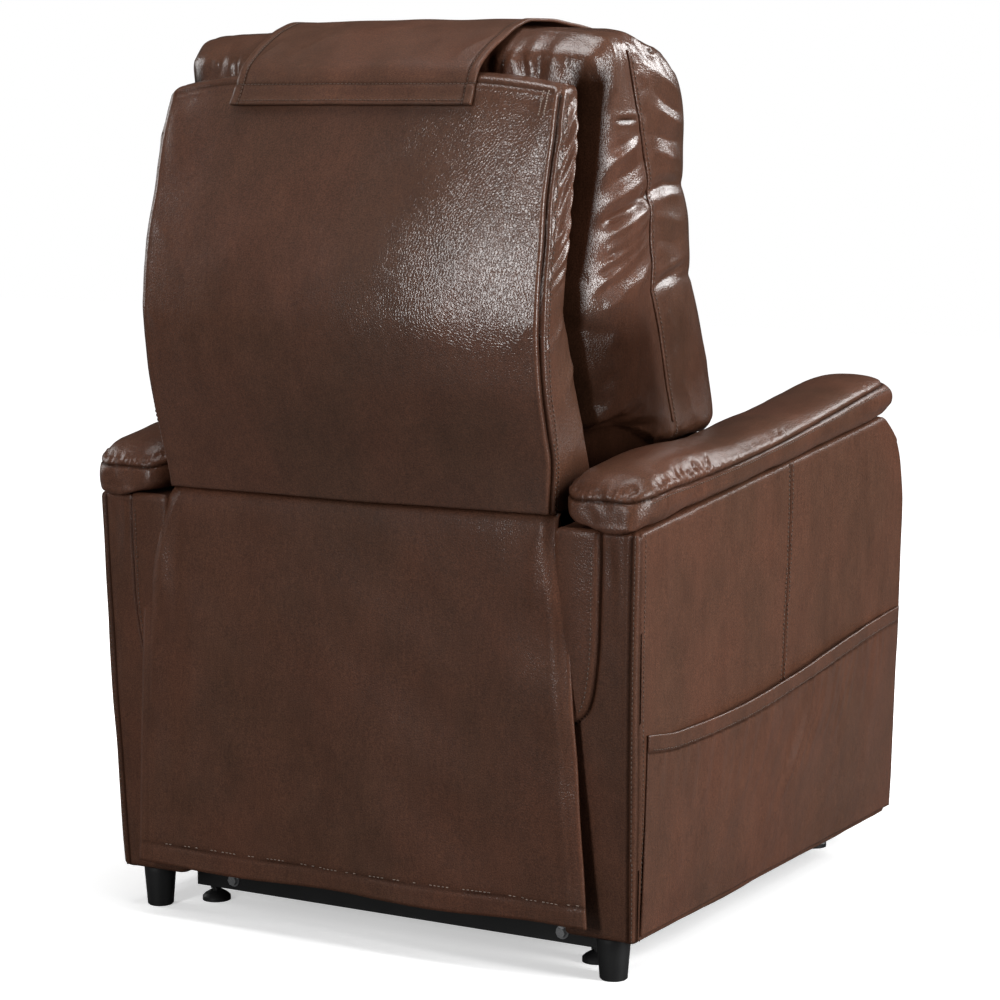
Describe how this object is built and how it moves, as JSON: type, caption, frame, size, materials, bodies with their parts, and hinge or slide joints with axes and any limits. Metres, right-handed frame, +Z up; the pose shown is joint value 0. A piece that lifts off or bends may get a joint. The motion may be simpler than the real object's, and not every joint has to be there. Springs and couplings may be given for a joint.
{
  "type": "power lift recliner chair",
  "caption": "Upholstered power lift recliner with padded arms, pillow-top back, scissor footrest, lift linkage and a side pocket.",
  "frame": {"origin": "centre of the bounding box at floor level, rest pose", "axes": "+Z up, the sitter faces -Y, the sitter's right is -X"},
  "size_m": [0.7563, 0.8347, 1.073],
  "materials": {
    "leather_brown": "semi-gloss, mottled dark brown",
    "black_plastic": "satin",
    "frame_wood": "unfinished",
    "zinc_steel": "zinc plated",
    "motor_plastic": "satin",
    "aluminium_tube": "anodised",
    "black_steel": "satin powder coat"
  },
  "bodies": {
    "base": {"levelling_feet": "black_plastic", "base_rear_tube": "black_steel", "base_front_tube": "black_steel", "base_rail_left": "black_steel", "base_rail_right": "black_steel", "base_bolts": "zinc_steel", "front_brackets": "black_steel", "side_brackets": "black_steel", "power_box": "black_plastic"},
    "lift_arm": {"lift_arm_left": "black_steel", "lift_arm_right": "black_steel", "torque_tube": "black_steel"},
    "rear_link": {"rear_link_left": "black_steel", "rear_link_right": "black_steel"},
    "chair": {"carriage_plate_left": "black_steel", "carriage_plate_right": "black_steel", "carriage_rear_tube": "black_steel", "carriage_front_tube": "black_steel", "motor_clevis": "black_steel", "mechanism_plate_left": "black_steel", "mechanism_plate_right": "black_steel", "seat_rail_left": "frame_wood", "seat_rail_right": "frame_wood", "seat_rail_front": "frame_wood", "seat_rail_rear": "frame_wood", "seat_springs": "zinc_steel", "seat_cushion": "leather_brown", "seat_front_band": "leather_brown", "arm_cover_left": "leather_brown", "arm_cover_right": "leather_brown", "arm_frame_left": "frame_wood", "arm_frame_right": "frame_wood", "arm_pad_left": "leather_brown", "arm_pad_right": "leather_brown", "side_pocket": "leather_brown", "rear_legs": "black_plastic", "back_flap": "leather_brown"},
    "actuator": {"actuator_gearbox": "motor_plastic", "actuator_motor": "motor_plastic", "actuator_tube": "aluminium_tube"},
    "rod": {"actuator_rod": "zinc_steel"},
    "back": {"back_uprights": "frame_wood", "back_rails": "frame_wood", "back_brackets": "black_steel", "back_panel": "leather_brown", "back_cushion": "leather_brown"},
    "pillow": {"head_pillow": "leather_brown", "pillow_strap": "leather_brown"},
    "foot_a1": {"footrest_link_a1": "black_steel"},
    "foot_b1": {"footrest_link_b1": "black_steel"},
    "foot_a2": {"footrest_link_a2": "black_steel"},
    "foot_b2": {"footrest_link_b2": "black_steel"},
    "foot_links": {"footrest_control_links": "black_steel"},
    "footrest": {"footrest_brackets": "black_steel", "footrest_board": "frame_wood", "footrest_pad": "leather_brown"}
  },
  "joints": [
    {"name": "lift", "type": "hinge", "parent": "base", "child": "lift_arm", "pos_m": [0, -0.3134, 0.062], "axis": [1, 0, 0], "range_deg": [0, 68]},
    {"name": "rear_link_pivot", "type": "hinge", "parent": "base", "child": "rear_link", "pos_m": [0, -0.2434, 0.1063], "axis": [1, 0, 0], "range_deg": [0, 56.15]},
    {"name": "carriage_tilt", "type": "hinge", "parent": "lift_arm", "child": "chair", "pos_m": [0, -0.058, 0.07], "axis": [1, 0, 0], "range_deg": [-41.04, 0]},
    {"name": "actuator_pivot", "type": "hinge", "parent": "chair", "child": "actuator", "pos_m": [0, 0.1866, 0.1], "axis": [1, 0, 0], "range_deg": [0, 11.1]},
    {"name": "actuator_stroke", "type": "slide", "parent": "actuator", "child": "rod", "axis": [0, -0.9138, 0.4061], "range_m": [0, 0.08009]},
    {"name": "recline", "type": "hinge", "parent": "chair", "child": "back", "pos_m": [0, 0.2266, 0.4], "axis": [-1, 0, 0], "range_deg": [0, 35], "deforming": ["back_flap"]},
    {"name": "pillow_lift", "type": "slide", "parent": "back", "child": "pillow", "axis": [0, 0, 1], "range_m": [0, 0.06]},
    {"name": "footrest", "type": "hinge", "parent": "chair", "child": "foot_a1", "pos_m": [0, -0.2534, 0.315], "axis": [-1, 0, 0], "range_deg": [0, 72]},
    {"name": "footrest_cross_1", "type": "hinge", "parent": "foot_a1", "child": "foot_b1", "pos_m": [0, -0.27759, 0.21797], "axis": [-1, 0, 0], "range_deg": [-144, 0]},
    {"name": "footrest_tip", "type": "hinge", "parent": "foot_a1", "child": "foot_b2", "pos_m": [0, -0.30178, 0.12094], "axis": [-1, 0, 0], "range_deg": [-144, 0]},
    {"name": "footrest_cross_2", "type": "hinge", "parent": "foot_b1", "child": "foot_a2", "pos_m": [0, -0.2741, 0.31791], "axis": [-1, 0, 0], "range_deg": [0, 144]},
    {"name": "footrest_board_turn", "type": "hinge", "parent": "foot_b2", "child": "footrest", "pos_m": [0, -0.2948, 0.32082], "axis": [-1, 0, 0], "range_deg": [0, 144]},
    {"name": "footrest_control", "type": "hinge", "parent": "foot_a2", "child": "foot_links", "pos_m": [0, -0.32249, 0.12385], "axis": [-1, 0, 0], "range_deg": [-144, 0]}
  ],
  "couplings": [
    {"joint": "rear_link_pivot", "follows": "lift", "ratio": 0.8254},
    {"joint": "carriage_tilt", "follows": "lift", "ratio": -0.6032},
    {"joint": "actuator_pivot", "follows": "lift", "ratio": 0.1629},
    {"joint": "actuator_stroke", "follows": "lift", "m_per_rad": 0.0674},
    {"joint": "footrest_cross_1", "follows": "footrest", "ratio": -2},
    {"joint": "footrest_tip", "follows": "footrest", "ratio": -2},
    {"joint": "footrest_cross_2", "follows": "footrest", "ratio": 2},
    {"joint": "footrest_board_turn", "follows": "footrest", "ratio": 2},
    {"joint": "footrest_control", "follows": "footrest", "ratio": -2}
  ]
}
